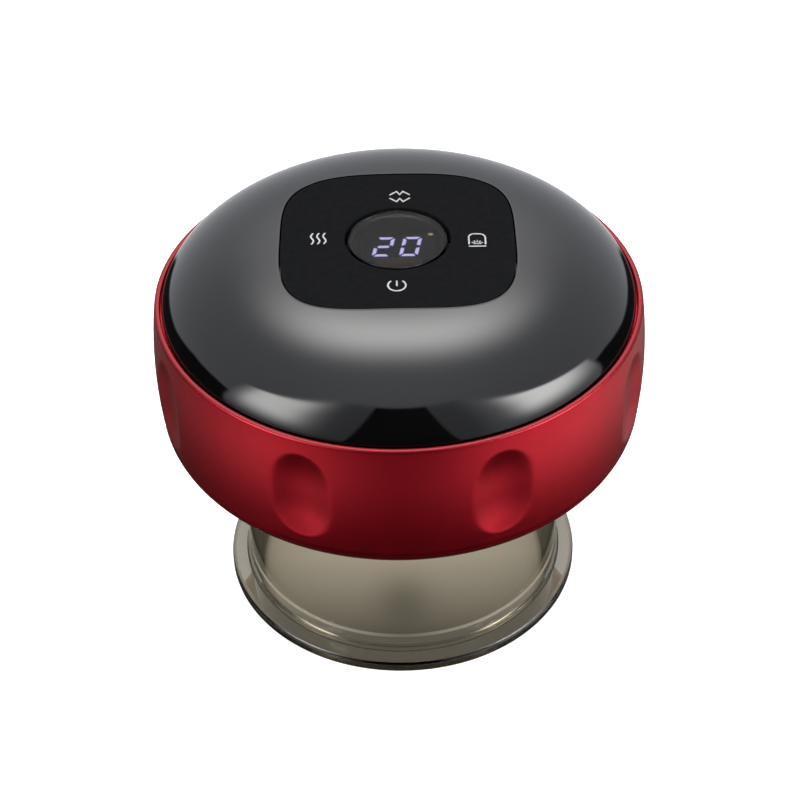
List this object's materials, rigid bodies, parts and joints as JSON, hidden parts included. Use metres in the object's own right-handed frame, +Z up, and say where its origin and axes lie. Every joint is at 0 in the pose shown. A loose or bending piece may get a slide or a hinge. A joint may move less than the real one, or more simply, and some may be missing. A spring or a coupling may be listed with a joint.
{
  "type": "electric cupping massager",
  "caption": "Domed handheld suction head with a four-way key plate and display, a dimpled grip ring and a pull-off clear cup.",
  "frame": {"origin": "middle of the cup's flat rim, on the surface that the object stands on", "axes": "+Z up through the dome, -Y towards the user, where the power key is, +X to the user's right"},
  "size_m": [0.0986, 0.0986, 0.0831],
  "materials": {
    "smoke_clear": "smoke-grey clear plastic, polished",
    "red_paint": "satin red metallic paint on a moulded shell",
    "gloss_black": "piano black, mirror gloss",
    "matt_black": "matt black",
    "lens_smoke": "smoke-tinted clear lens",
    "black_plastic": "black moulded plastic",
    "white_plastic": "natural white moulded plastic",
    "soft_rubber": "black rubber",
    "clear_silicone": "milky silicone rubber",
    "board_green": "green solder mask on glass-fibre board",
    "brushed_aluminium": "turned aluminium",
    "bright_steel": "bright plated steel",
    "coil_copper": "lacquered copper winding",
    "film_amber": "amber heating film",
    "sponge_white": "white filter foam",
    "cell_wrap": "blue shrink wrap"
  },
  "bodies": {
    "housing": {"top_cover": "gloss_black", "grip_ring": "red_paint", "base_plate": "black_plastic", "chassis": "white_plastic", "heat_plate": "brushed_aluminium", "heating_film": "film_amber", "filter_sponge": "sponge_white", "display_lens": "lens_smoke", "lens_holder": "black_plastic", "display_module": "black_plastic", "main_board": "board_green", "control_chip": "black_plastic", "tact_switch_power": "black_plastic", "tact_switch_heat": "black_plastic", "tact_switch_mode": "black_plastic", "tact_switch_suction": "black_plastic", "buzzer": "black_plastic", "battery_cell": "cell_wrap", "pump_motor": "bright_steel", "pump_bracket": "white_plastic", "pump_diaphragm": "soft_rubber", "pump_head": "black_plastic", "valve_body": "white_plastic", "valve_coil": "coil_copper", "valve_yoke": "bright_steel", "valve_spring": "bright_steel", "suction_hose": "clear_silicone", "pump_hose": "clear_silicone", "charge_socket": "bright_steel", "charge_board": "board_green"},
    "cup_set": {"cup": "smoke_clear", "cup_seal": "soft_rubber"},
    "key_mat_body": {"key_mat": "clear_silicone"},
    "key_plate_body": {"key_plate": "matt_black"},
    "crank": {"pump_crank": "white_plastic"},
    "plunger": {"valve_plunger": "bright_steel"}
  },
  "joints": [
    {"name": "cup_pull", "type": "slide", "parent": "housing", "child": "cup_set", "axis": [0, 0, -1], "range_m": [0, 0.012]},
    {"name": "key_rock_front", "type": "hinge", "parent": "housing", "child": "key_mat_body", "pos_m": [0, 0, 0.0793], "axis": [1, 0, 0], "range_deg": [-1, 1], "stiffness_Nm_per_rad": 2},
    {"name": "key_rock_side", "type": "hinge", "parent": "key_mat_body", "child": "key_plate_body", "pos_m": [0, 0, 0.0793], "axis": [0, 1, 0], "range_deg": [-1, 1], "stiffness_Nm_per_rad": 2},
    {"name": "pump_turn", "type": "hinge", "parent": "housing", "child": "crank", "pos_m": [-0.006, -0.01251, 0.06031], "axis": [1, 0, 0], "continuous": true},
    {"name": "valve_lift", "type": "slide", "parent": "housing", "child": "plunger", "axis": [0, 0, 1], "range_m": [0, 0.0012], "stiffness_N_per_m": 300, "springref_m": -0.001, "deforming": ["valve_spring"]}
  ]
}
